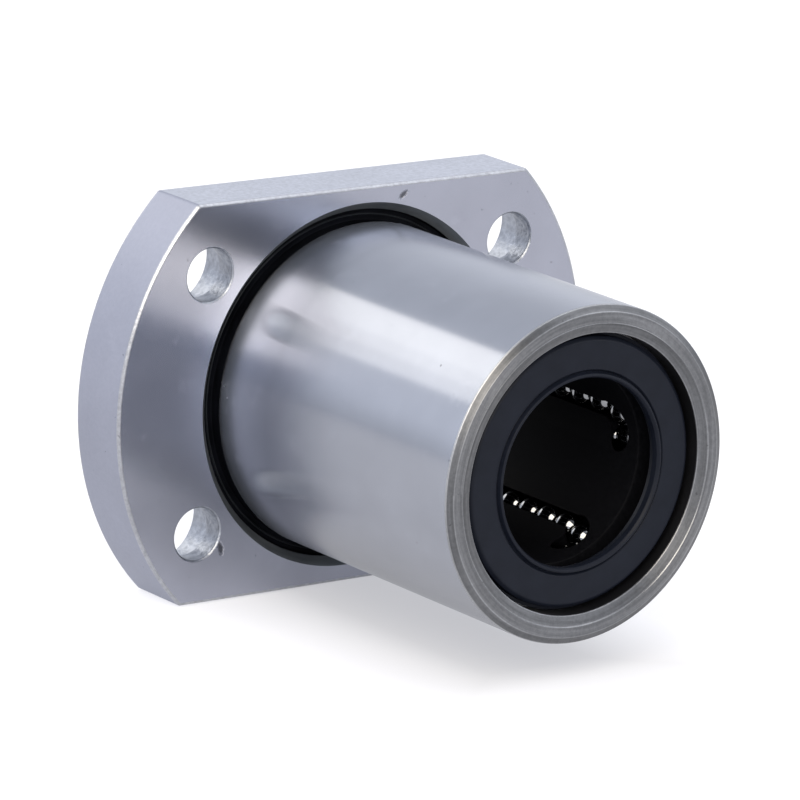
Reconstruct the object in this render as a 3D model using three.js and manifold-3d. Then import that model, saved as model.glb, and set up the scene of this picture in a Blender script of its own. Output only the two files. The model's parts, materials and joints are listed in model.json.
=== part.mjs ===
// Linear ball bushing with an integral flange cut flat on two sides, for a 16 mm shaft.
//
// Frame: millimetres. The bore axis lies along Y, with the plain tube end at -Y and the flange at +Y.
// X runs along the flange's long direction, Z is square to the two flats, and the origin is on the
// bore axis at half the bushing's length.
//
// The balls run in closed circuits. A circuit is a loaded row that touches the shaft, a return row that
// is lifted clear of it, and a half-circle turn at each end. Each of the four stretches is one group of
// balls: the rows slide along Y and the turns swing about their own centres, all in step.
import * as THREE from "three";
import { mergeVertices } from "three/addons/utils/BufferGeometryUtils.js";
import Module from "manifold-3d";

// ---- driving dimensions ----
const SHAFT_DIAMETER = 16;
const TUBE_DIAMETER = 28;
const LENGTH = 37;
const FLANGE_DIAMETER = 48;
const FLANGE_THICKNESS = 6;
const FLANGE_ACROSS_FLATS = 34;
const HOLE_SPACING_X = 31;
const HOLE_SPACING_Z = 22;
const HOLE_DIAMETER = 4.5;
const COUNTERBORE_DIAMETER = 7.5;
const COUNTERBORE_DEPTH = 4.1;

const BALL_DIAMETER = 2.381;
const BALL_PITCH = 2.42;
const BALLS_PER_ROW = 9;
const BALLS_PER_TURN = 2;
const CIRCUITS = 5;
const FIRST_CIRCUIT_ANGLE = THREE.MathUtils.degToRad(20.4);
const RETURN_LIFT = 0.76; // how much further out the return row runs than the loaded row
const TRACK_CLEARANCE = 0.12;
const CHANNEL_EASE = 0.03; // how much wider the straight channels are than the bends
const TURN_LEAD = 0.8; // how far a bend runs on into its straight channels

// ---- sizes that follow from them ----
const HALF_LENGTH = LENGTH / 2;
const FLANGE_FACE_Y = HALF_LENGTH - FLANGE_THICKNESS;
const BALL_RADIUS = BALL_DIAMETER / 2;
const LOAD_RADIUS = SHAFT_DIAMETER / 2 + BALL_RADIUS + 0.01;
const RETURN_RADIUS = LOAD_RADIUS + RETURN_LIFT;
const TRACK_RADIUS = BALL_RADIUS + TRACK_CLEARANCE;
const TURN_STEP = Math.PI / BALLS_PER_TURN;
const TURN_RADIUS = BALL_PITCH / (2 * Math.sin(TURN_STEP / 2));
const ROW_HALF_LENGTH = (BALLS_PER_ROW * BALL_PITCH) / 2;

// ---- sleeve ----
const EDGE_CHAMFER = 0.3;
const END_CHAMFER_WIDTH = 0.57; // the plain end's outer edge slopes more gently than the others
const END_CONE_RADIUS = 12.6; // where the plain end's flat rim turns into the cone of its mouth
const END_CONE_DEPTH = 0.3;
const RELIEF_OUTER_RADIUS = 15.6;
const RELIEF_FLOOR_RADIUS = 14.8;
const RELIEF_DEPTH = 1.2;
const RELIEF_UNDERCUT = 0.2;
const MOUTH_RADIUS = 11.65; // the wide stretch of bore at each end, which holds the seal
const MOUTH_CHAMFER = 0.15;
const RACE_RADIUS = 10.46; // the hardened bore that the loaded rows run against
const TURN_ZONE_RADIUS = 11.35;
const RACE_HALF_LENGTH = ROW_HALF_LENGTH - 0.5;
const RING_GROOVE_RADIUS = 12.4;

// ---- what is stacked in each mouth, from the middle outwards ----
const STACK_GAP = 0.1;
const CAGE_HALF_LENGTH = 14.9;
const RING_THICKNESS = 0.8;
const WASHER_THICKNESS = 0.4;
const RING_START = CAGE_HALF_LENGTH + STACK_GAP;
const RING_END = RING_START + RING_THICKNESS;
const WASHER_START = RING_END + STACK_GAP;
const SEAL_START = WASHER_START + WASHER_THICKNESS + STACK_GAP;

const CAGE_INNER_RADIUS = 8.15;
const CAGE_OUTER_RADIUS = 10.12;
const CAGE_COLLAR_RADIUS = 11;
const CAGE_COLLAR_WIDTH = 0.8;
const RING_INNER_RADIUS = 10;
const RING_OUTER_RADIUS = 12.25;
const RING_SPLIT_ANGLE = THREE.MathUtils.degToRad(24);
const WASHER_INNER_RADIUS = 9.4;
const WASHER_OUTER_RADIUS = 11.5;
const SEAL_BASE_RADIUS = 11.5;
const SEAL_RIM_RADIUS = 11.2;
const SEAL_LIP_RADIUS = 7.85; // a little under the shaft, so that the lip wipes it

// ---- facets ----
const SLEEVE_SEGMENTS = 48;
const RING_SEGMENTS = 36;
const HOLE_SEGMENTS = 16;
const BALL_SEGMENTS = 6;
const TRACK_SIDES = 8;
const TURN_SWEEP_STEPS = 6;

const wasm = await Module();
wasm.setup();

// ---- materials ----
const groundSteel = () => new THREE.MeshStandardMaterial({ color: 0xaeb4bc, roughness: 0.25, metalness: 1 });
const springSteel = () => new THREE.MeshStandardMaterial({ color: 0x8d9196, roughness: 0.35, metalness: 1 });
const bearingSteel = () => new THREE.MeshStandardMaterial({ color: 0xd9dde2, roughness: 0.1, metalness: 1 });
const blackResin = () => new THREE.MeshStandardMaterial({ color: 0x16171a, roughness: 0.55, metalness: 0 });
const blackRubber = () => new THREE.MeshStandardMaterial({ color: 0x23272d, roughness: 0.6, metalness: 0 });

// ---- helpers ----

// A closed [radius, y] outline, listed anticlockwise with the radius to the right, turned about Y.
function turned(outline, segments) {
  const points = [...outline, outline[0]].map(([radius, y]) => new THREE.Vector2(radius, y));
  return new THREE.LatheGeometry(points, segments);
}

function toManifold(geometry) {
  const bare = geometry.clone();
  bare.deleteAttribute("normal");
  bare.deleteAttribute("uv");
  const merged = mergeVertices(bare, 1e-4);
  return new wasm.Manifold(new wasm.Mesh({
    numProp: 3,
    vertProperties: new Float32Array(merged.attributes.position.array),
    triVerts: new Uint32Array(merged.index.array),
  }));
}

function fromManifold(solid) {
  const mesh = solid.getMesh();
  const geometry = new THREE.BufferGeometry();
  geometry.setAttribute("position", new THREE.BufferAttribute(mesh.vertProperties, 3));
  geometry.setIndex(new THREE.BufferAttribute(mesh.triVerts, 1));
  geometry.computeVertexNormals();
  return geometry;
}

// A cylinder along Y between two heights, for cutting with.
function cylinderAlongY(radius, yLow, yHigh, x, z, segments) {
  const geometry = new THREE.CylinderGeometry(radius, radius, yHigh - yLow, segments);
  return geometry.translate(x, (yLow + yHigh) / 2, z);
}

function named(name, geometry, material) {
  const mesh = new THREE.Mesh(geometry, material);
  mesh.name = name;
  return mesh;
}

// The same piece at the other end of the bushing: half a turn about Z swaps the ends.
function atFlangeEnd(mesh) {
  mesh.rotation.z = Math.PI;
  return mesh;
}

// ---- the layout of one circuit ----

// Where the rows lie in the XZ plane, and the directions of the plane that the circuit lies in.
function circuitLayout(index) {
  const loadAngle = FIRST_CIRCUIT_ANGLE - (index * 2 * Math.PI) / CIRCUITS;
  const rowDistance = 2 * TURN_RADIUS;
  const cosine =
    (LOAD_RADIUS ** 2 + RETURN_RADIUS ** 2 - rowDistance ** 2) / (2 * LOAD_RADIUS * RETURN_RADIUS);
  const returnAngle = loadAngle - Math.acos(cosine);
  const load = new THREE.Vector3(Math.cos(loadAngle), 0, Math.sin(loadAngle)).multiplyScalar(LOAD_RADIUS);
  const back = new THREE.Vector3(Math.cos(returnAngle), 0, Math.sin(returnAngle)).multiplyScalar(RETURN_RADIUS);
  const middle = load.clone().add(back).divideScalar(2);
  const across = back.clone().sub(load).normalize();
  return { load, back, middle, across };
}

// The way round one turn, with a short straight stretch at each end of it. The parameter runs in equal
// steps for the two straight stretches and for each step of the turn.
class TurnPath extends THREE.Curve {
  constructor(layout, end) {
    super();
    this.layout = layout;
    this.end = end;
  }

  getUtoTmapping(u) {
    return u;
  }

  getPoint(t) {
    const { load, back, middle, across } = this.layout;
    const along = new THREE.Vector3(0, this.end, 0);
    const step = t * (TURN_SWEEP_STEPS + 2) - 1;
    if (step <= 0) return load.clone().addScaledVector(along, ROW_HALF_LENGTH + step * TURN_LEAD);
    if (step >= TURN_SWEEP_STEPS) {
      const lead = (step - TURN_SWEEP_STEPS) * TURN_LEAD;
      return back.clone().addScaledVector(along, ROW_HALF_LENGTH - lead);
    }
    const angle = (Math.PI * step) / TURN_SWEEP_STEPS;
    return middle.clone()
      .addScaledVector(across, -TURN_RADIUS * Math.cos(angle))
      .addScaledVector(along, ROW_HALF_LENGTH + TURN_RADIUS * Math.sin(angle));
  }
}

// What one circuit takes out of the cage: two straight channels joined by a bent one at each end.
function cutTrack(cage, layout) {
  const section = new THREE.Shape();
  section.absarc(0, 0, TRACK_RADIUS, 0, 2 * Math.PI);
  const reach = ROW_HALF_LENGTH - TURN_LEAD / 2;
  let cut = cage;
  for (const row of [layout.load, layout.back]) {
    const channel = cylinderAlongY(TRACK_RADIUS + CHANNEL_EASE, -reach, reach, row.x, row.z, TRACK_SIDES);
    cut = cut.subtract(toManifold(channel));
  }
  for (const end of [-1, 1]) {
    const bend = new THREE.ExtrudeGeometry(section, {
      steps: TURN_SWEEP_STEPS + 2,
      curveSegments: TRACK_SIDES / 2,
      bevelEnabled: false,
      extrudePath: new TurnPath(layout, end),
    });
    cut = cut.subtract(toManifold(bend));
  }
  return cut;
}

// ---- the pieces ----

function makeSleeve() {
  const tube = TUBE_DIAMETER / 2;
  const flange = FLANGE_DIAMETER / 2;
  const outline = [
    [END_CONE_RADIUS, -HALF_LENGTH],
    [tube - END_CHAMFER_WIDTH, -HALF_LENGTH],
    [tube, -HALF_LENGTH + EDGE_CHAMFER],
    [tube, FLANGE_FACE_Y - EDGE_CHAMFER],
    [tube - RELIEF_UNDERCUT, FLANGE_FACE_Y],
    [tube - RELIEF_UNDERCUT, FLANGE_FACE_Y + RELIEF_DEPTH],
    [RELIEF_FLOOR_RADIUS, FLANGE_FACE_Y + RELIEF_DEPTH],
    [RELIEF_OUTER_RADIUS, FLANGE_FACE_Y],
    [flange - EDGE_CHAMFER, FLANGE_FACE_Y],
    [flange, FLANGE_FACE_Y + EDGE_CHAMFER],
    [flange, HALF_LENGTH - EDGE_CHAMFER],
    [flange - EDGE_CHAMFER, HALF_LENGTH],
    [MOUTH_RADIUS + MOUTH_CHAMFER, HALF_LENGTH],
    [MOUTH_RADIUS, HALF_LENGTH - MOUTH_CHAMFER],
    [MOUTH_RADIUS, WASHER_START],
    [RING_GROOVE_RADIUS, WASHER_START],
    [RING_GROOVE_RADIUS, CAGE_HALF_LENGTH],
    [TURN_ZONE_RADIUS, CAGE_HALF_LENGTH],
    [TURN_ZONE_RADIUS, RACE_HALF_LENGTH],
    [RACE_RADIUS, RACE_HALF_LENGTH],
    [RACE_RADIUS, -RACE_HALF_LENGTH],
    [TURN_ZONE_RADIUS, -RACE_HALF_LENGTH],
    [TURN_ZONE_RADIUS, -CAGE_HALF_LENGTH],
    [RING_GROOVE_RADIUS, -CAGE_HALF_LENGTH],
    [RING_GROOVE_RADIUS, -WASHER_START],
    [MOUTH_RADIUS, -WASHER_START],
    [MOUTH_RADIUS, -HALF_LENGTH + END_CONE_DEPTH],
  ];
  let sleeve = toManifold(turned(outline, SLEEVE_SEGMENTS));
  for (const side of [-1, 1]) {
    const waste = new THREE.BoxGeometry(FLANGE_DIAMETER + 2, FLANGE_THICKNESS + 2, FLANGE_DIAMETER);
    waste.translate(0, HALF_LENGTH - FLANGE_THICKNESS / 2, (side * (FLANGE_ACROSS_FLATS + FLANGE_DIAMETER)) / 2);
    sleeve = sleeve.subtract(toManifold(waste));
  }
  for (const x of [-HOLE_SPACING_X / 2, HOLE_SPACING_X / 2]) {
    for (const z of [-HOLE_SPACING_Z / 2, HOLE_SPACING_Z / 2]) {
      const low = FLANGE_FACE_Y - 1;
      const high = HALF_LENGTH + 1;
      const seat = HALF_LENGTH - COUNTERBORE_DEPTH;
      const hole = cylinderAlongY(HOLE_DIAMETER / 2, low, high, x, z, HOLE_SEGMENTS);
      const counterbore = cylinderAlongY(COUNTERBORE_DIAMETER / 2, seat, high, x, z, HOLE_SEGMENTS);
      sleeve = sleeve.subtract(toManifold(hole)).subtract(toManifold(counterbore));
    }
  }
  const reach = RACE_HALF_LENGTH + 1;
  for (let index = 0; index < CIRCUITS; index += 1) {
    const { back } = circuitLayout(index);
    const groove = cylinderAlongY(TURN_ZONE_RADIUS - RETURN_RADIUS, -reach, reach, back.x, back.z, HOLE_SEGMENTS);
    sleeve = sleeve.subtract(toManifold(groove));
  }
  return named("flanged_sleeve", fromManifold(sleeve), groundSteel());
}

function makeCage() {
  const collarY = CAGE_HALF_LENGTH - CAGE_COLLAR_WIDTH;
  const outline = [
    [CAGE_INNER_RADIUS, -CAGE_HALF_LENGTH],
    [CAGE_COLLAR_RADIUS, -CAGE_HALF_LENGTH],
    [CAGE_COLLAR_RADIUS, -collarY],
    [CAGE_OUTER_RADIUS, -collarY],
    [CAGE_OUTER_RADIUS, collarY],
    [CAGE_COLLAR_RADIUS, collarY],
    [CAGE_COLLAR_RADIUS, CAGE_HALF_LENGTH],
    [CAGE_INNER_RADIUS, CAGE_HALF_LENGTH],
  ];
  let cage = toManifold(turned(outline, RING_SEGMENTS));
  for (let index = 0; index < CIRCUITS; index += 1) {
    cage = cutTrack(cage, circuitLayout(index));
  }
  return named("ball_retainer", fromManifold(cage), blackResin());
}

// A split spring ring, lying in the sleeve's groove at the tube end.
function makeEndRing(name) {
  const half = RING_SPLIT_ANGLE / 2;
  const shape = new THREE.Shape();
  shape.absarc(0, 0, RING_OUTER_RADIUS, half, 2 * Math.PI - half, false);
  shape.absarc(0, 0, RING_INNER_RADIUS, 2 * Math.PI - half, half, true);
  const geometry = new THREE.ExtrudeGeometry(shape, {
    depth: RING_THICKNESS,
    bevelEnabled: false,
    curveSegments: RING_SEGMENTS / 2,
  });
  geometry.rotateX(Math.PI / 2);
  geometry.translate(0, -RING_START, 0);
  return named(name, geometry, springSteel());
}

// The flat steel washer that backs the seal's rubber, at the tube end.
function makeSealWasher(name) {
  const outline = [
    [WASHER_INNER_RADIUS, -WASHER_START - WASHER_THICKNESS],
    [WASHER_OUTER_RADIUS, -WASHER_START - WASHER_THICKNESS],
    [WASHER_OUTER_RADIUS, -WASHER_START],
    [WASHER_INNER_RADIUS, -WASHER_START],
  ];
  return named(name, turned(outline, RING_SEGMENTS), springSteel());
}

// The rubber seal at the tube end, with a raised lip round the shaft. Heights are measured outwards
// from its inner face.
function makeSeal(name) {
  const profile = [
    [SEAL_LIP_RADIUS, 1.2],
    [8, 1.45],
    [8.2, 1.4],
    [8.3, 0.95],
    [8.5, 1.2],
    [10.75, 1.2],
    [SEAL_RIM_RADIUS, 0.85],
    [SEAL_RIM_RADIUS, 0.35],
    [SEAL_BASE_RADIUS, 0.35],
    [SEAL_BASE_RADIUS, 0],
    [8.6, 0],
    [SEAL_LIP_RADIUS, 0.6],
  ];
  const outline = profile.map(([radius, height]) => [radius, -SEAL_START - height]);
  return named(name, turned(outline, RING_SEGMENTS), blackRubber());
}

// Balls in a line along Y, centred on the origin, held to each other by a thin neck where they meet.
function ballChain(count) {
  const neck = 0.2;
  const neckHeight = Math.sqrt(BALL_RADIUS ** 2 - neck ** 2);
  const slant = BALL_RADIUS * Math.SQRT1_2;
  const first = (-(count - 1) * BALL_PITCH) / 2;
  const points = [new THREE.Vector2(0, first - BALL_RADIUS)];
  for (let index = 0; index < count; index += 1) {
    const y = first + index * BALL_PITCH;
    if (index > 0) points.push(new THREE.Vector2(neck, y - neckHeight));
    points.push(new THREE.Vector2(slant, y - slant));
    points.push(new THREE.Vector2(BALL_RADIUS, y));
    points.push(new THREE.Vector2(slant, y + slant));
    if (index < count - 1) points.push(new THREE.Vector2(neck, y + neckHeight));
  }
  points.push(new THREE.Vector2(0, -first + BALL_RADIUS));
  return new THREE.LatheGeometry(points, BALL_SEGMENTS);
}

function makeRow(name, place) {
  const row = named(name, ballChain(BALLS_PER_ROW), bearingSteel());
  row.position.copy(place);
  return row;
}

// The balls in a turn sit evenly on its half circle. Two of them lie on one line across the circuit.
function makeTurn(name, layout, end) {
  const turn = named(name, ballChain(BALLS_PER_TURN), bearingSteel());
  const rise = TURN_RADIUS * Math.sin(TURN_STEP / 2);
  turn.quaternion.setFromUnitVectors(new THREE.Vector3(0, 1, 0), layout.across);
  turn.position.copy(layout.middle);
  turn.position.y = end * (ROW_HALF_LENGTH + rise);
  return turn;
}

function makeCircuit(index) {
  const layout = circuitLayout(index);
  const number = index + 1;
  return [
    makeRow(`load_balls_${number}`, layout.load),
    makeRow(`return_balls_${number}`, layout.back),
    makeTurn(`front_turn_balls_${number}`, layout, -1),
    makeTurn(`rear_turn_balls_${number}`, layout, 1),
  ];
}

const bushing = new THREE.Group();
bushing.add(makeSleeve());
bushing.add(makeCage());
bushing.add(makeEndRing("front_end_ring"));
bushing.add(atFlangeEnd(makeEndRing("rear_end_ring")));
bushing.add(makeSealWasher("front_seal_washer"));
bushing.add(atFlangeEnd(makeSealWasher("rear_seal_washer")));
bushing.add(makeSeal("front_seal"));
bushing.add(atFlangeEnd(makeSeal("rear_seal")));
for (let index = 0; index < CIRCUITS; index += 1) bushing.add(...makeCircuit(index));

export default bushing;
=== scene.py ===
"""A linear ball bushing with a flange cut flat on two sides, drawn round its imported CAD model.

Shapes are worked out in millimetres in the CAD's own frame, and handed over in metres: the bore axis lies
along Y, the tube end is at -Y and the flange at +Y, X runs along the flange and Z is up.
"""

import json
import math

import bmesh
import bpy
from mathutils import Matrix, Vector
from mathutils.geometry import tessellate_polygon


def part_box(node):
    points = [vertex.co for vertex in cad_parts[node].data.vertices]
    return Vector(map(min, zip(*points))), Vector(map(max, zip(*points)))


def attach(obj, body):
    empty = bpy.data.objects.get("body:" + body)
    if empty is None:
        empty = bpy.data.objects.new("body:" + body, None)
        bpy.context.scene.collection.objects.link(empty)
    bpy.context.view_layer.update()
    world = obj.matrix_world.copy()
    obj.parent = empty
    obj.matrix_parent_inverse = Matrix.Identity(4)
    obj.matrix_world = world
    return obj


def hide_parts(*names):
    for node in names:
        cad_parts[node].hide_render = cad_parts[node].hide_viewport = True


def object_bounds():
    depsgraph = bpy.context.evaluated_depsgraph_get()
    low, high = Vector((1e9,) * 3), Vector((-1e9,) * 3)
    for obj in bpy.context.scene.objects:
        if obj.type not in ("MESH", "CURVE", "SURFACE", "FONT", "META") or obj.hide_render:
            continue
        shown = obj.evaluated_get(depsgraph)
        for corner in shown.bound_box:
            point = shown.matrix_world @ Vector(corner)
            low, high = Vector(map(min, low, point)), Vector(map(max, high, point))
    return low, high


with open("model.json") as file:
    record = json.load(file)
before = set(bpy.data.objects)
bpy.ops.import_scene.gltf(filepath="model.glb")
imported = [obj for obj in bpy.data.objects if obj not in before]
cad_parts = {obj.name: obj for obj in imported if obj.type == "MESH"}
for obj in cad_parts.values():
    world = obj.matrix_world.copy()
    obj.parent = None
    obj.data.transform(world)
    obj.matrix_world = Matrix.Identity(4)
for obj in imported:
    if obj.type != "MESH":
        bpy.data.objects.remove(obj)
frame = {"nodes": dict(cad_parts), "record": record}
cad_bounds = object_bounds()

MM = 0.001

# ---- sizes that the frame gives ----


def box_mm(node):
    low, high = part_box(node)
    return low / MM, high / MM


def mount_height(name):
    """How far along Y a mount's face lies."""
    mount = next(m for m in frame["record"]["mounts"] if m["name"] == name)
    return mount["pos_m"][1] / MM


SLEEVE_HIGH = box_mm("flanged_sleeve")[1]
END_Y = SLEEVE_HIGH.y
FACE_Y = mount_height("flange_mounting_face")
FLANGE_RADIUS = SLEEVE_HIGH.x
FLAT_Z = SLEEVE_HIGH.z
CAGE_HIGH = box_mm("ball_retainer")[1]
CAGE_END = CAGE_HIGH.y
CAGE_COLLAR_RADIUS = CAGE_HIGH.x
# The pieces in the tube's mouth are at -Y. NEAR and FAR are how far from the middle their two faces lie.
RING_LOW, RING_HIGH = box_mm("front_end_ring")
RING_RADIUS = -RING_LOW.x
RING_FAR, RING_NEAR = -RING_LOW.y, -RING_HIGH.y
WASHER_LOW, WASHER_HIGH = box_mm("front_seal_washer")
WASHER_RADIUS = WASHER_HIGH.x
WASHER_FAR, WASHER_NEAR = -WASHER_LOW.y, -WASHER_HIGH.y
SEAL_LOW, SEAL_HIGH = box_mm("front_seal")
SEAL_RADIUS = SEAL_HIGH.x
SEAL_FAR, SEAL_NEAR = -SEAL_LOW.y, -SEAL_HIGH.y
CIRCUITS = sum(name.startswith("load_balls_") for name in frame["nodes"])
ROW_LOW, ROW_HIGH = box_mm("load_balls_1")

# ---- sizes that the frame doesn't give, in millimetres ----

BALLS_PER_ROW = 9
BALLS_PER_TURN = 2
TUBE_RADIUS = 14
HOLE_X = 15.5
HOLE_Z = 11
HOLE_RADIUS = 2.25
COUNTERBORE_RADIUS = 3.75
COUNTERBORE_DEPTH = 4.1
MOUTH_RADIUS = 11.65
RING_GROOVE_RADIUS = 12.4
TURN_ZONE_RADIUS = 11.35
RACE_RADIUS = 10.46
CAGE_INNER_RADIUS = 8.15
CAGE_OUTER_RADIUS = 10.12
CAGE_COLLAR_WIDTH = 0.8
TRACK_CLEARANCE = 0.12
TURN_WINDOW = 1.0
BALL_RADIUS = 1.1905
RELIEF_RADIUS = 15.6
RELIEF_DEPTH = 1.2
RELIEF_WALL_FOOT = (14.9, 0.75)
RIDGE_START = 14.28
RIDGE_STOP = 14.46
END_CONE_RADIUS = 12.6
END_CHAMFER_RADIUS = 13.42
END_CHAMFER_DEPTH = 0.3
SEAL_LIP_RADIUS = 7.85
RING_INNER_RADIUS = 10
RING_GAP_ANGLE = math.radians(24)
WASHER_INNER_RADIUS = 9.4

SHARP_ANGLE = math.radians(28)

BALL_PITCH = (ROW_HIGH.y - ROW_LOW.y - 2 * BALL_RADIUS) / (BALLS_PER_ROW - 1)
ROW_HALF_LENGTH = BALLS_PER_ROW * BALL_PITCH / 2


# ---- building meshes ----


class Solid:
    """One piece's mesh, made of rings of points with strips and flat panels between them."""

    def __init__(self):
        self.mesh = bmesh.new()
        self.panel_edges = []

    def ring(self, points):
        return [self.mesh.verts.new(point) for point in points]

    def face(self, corners, slot):
        face = self.mesh.faces.new(corners)
        face.material_index = slot
        face.smooth = True
        return face

    def strip(self, first, second, slot=0, closed=True):
        count = len(first)
        made = []
        for here in range(count if closed else count - 1):
            there = (here + 1) % count
            made.append(self.face((first[here], first[there], second[there], second[here]), slot))
        return made

    def strips(self, rings, slot=0):
        for first, second in zip(rings, rings[1:]):
            self.strip(first, second, slot)

    def panel(self, outline, holes=(), slot=0):
        """A flat face inside outline, open at each hole. Its edges stay sharp, so that it shades flat."""
        loops = [outline, *holes]
        corners = [vert for loop in loops for vert in loop]
        for triangle in tessellate_polygon([[vert.co for vert in loop] for loop in loops]):
            self.face([corners[index] for index in triangle], slot)
        for loop in loops:
            self.panel_edges += [self.mesh.edges.get((a, b)) for a, b in zip(loop, loop[1:] + loop[:1])]

    def finish(self, name, materials):
        bmesh.ops.recalc_face_normals(self.mesh, faces=self.mesh.faces)
        for edge in self.mesh.edges:
            if len(edge.link_faces) == 2 and edge.calc_face_angle() > SHARP_ANGLE:
                edge.smooth = False
        for edge in self.panel_edges:
            edge.smooth = False
        bmesh.ops.scale(self.mesh, vec=(MM, MM, MM), verts=self.mesh.verts)
        data = bpy.data.meshes.new(name)
        self.mesh.to_mesh(data)
        self.mesh.free()
        for material in materials:
            data.materials.append(material)
        piece = bpy.data.objects.new(name, data)
        bpy.context.scene.collection.objects.link(piece)
        return piece


def rounded(line, radius, steps=4):
    """The open line with each corner between its ends rounded. A corner's third value is its own radius."""
    result = [Vector(line[0][:2])]
    for before, corner, after in zip(line, line[1:], line[2:]):
        own = corner[2] if len(corner) > 2 else radius
        point = Vector(corner[:2])
        back = Vector(before[:2]) - point
        ahead = Vector(after[:2]) - point
        half_turn = (math.pi - back.angle(ahead)) / 2
        reach = min(own * math.tan(half_turn), 0.45 * back.length, 0.45 * ahead.length)
        start = point + back.normalized() * reach
        stop = point + ahead.normalized() * reach
        for step in range(steps + 1):
            t = step / steps
            result.append(start * (1 - t) ** 2 + point * 2 * t * (1 - t) + stop * t ** 2)
    result.append(Vector(line[-1][:2]))
    return result


def supported(line, gap=0.06):
    """The line with a point near both ends of each long stretch, so that its shading stays straight."""
    result = [line[0]]
    for start, stop in zip(line, line[1:]):
        along = stop - start
        if along.length > 4 * gap:
            result += [start + along.normalized() * gap, stop - along.normalized() * gap]
        result.append(stop)
    return result


def circle(radius, y, centre=(0, 0), count=96):
    turns = [2 * math.pi * index / count for index in range(count)]
    return [(centre[0] + radius * math.cos(a), y, centre[1] + radius * math.sin(a)) for a in turns]


def turned_rings(solid, profile, count=360, centre=(0, 0)):
    """A ring of points about an axis along Y for each (radius, y) of the profile."""
    return [solid.ring(circle(radius, y, centre, count)) for radius, y in profile]


def turned_piece(name, profile, materials, count=240):
    """A ring-shaped piece from a closed profile of (radius, y) points, given as an open line."""
    solid = Solid()
    rings = turned_rings(solid, profile, count)
    solid.strips(rings + rings[:1])
    return solid.finish(name, materials)


# ---- materials ----


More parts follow.
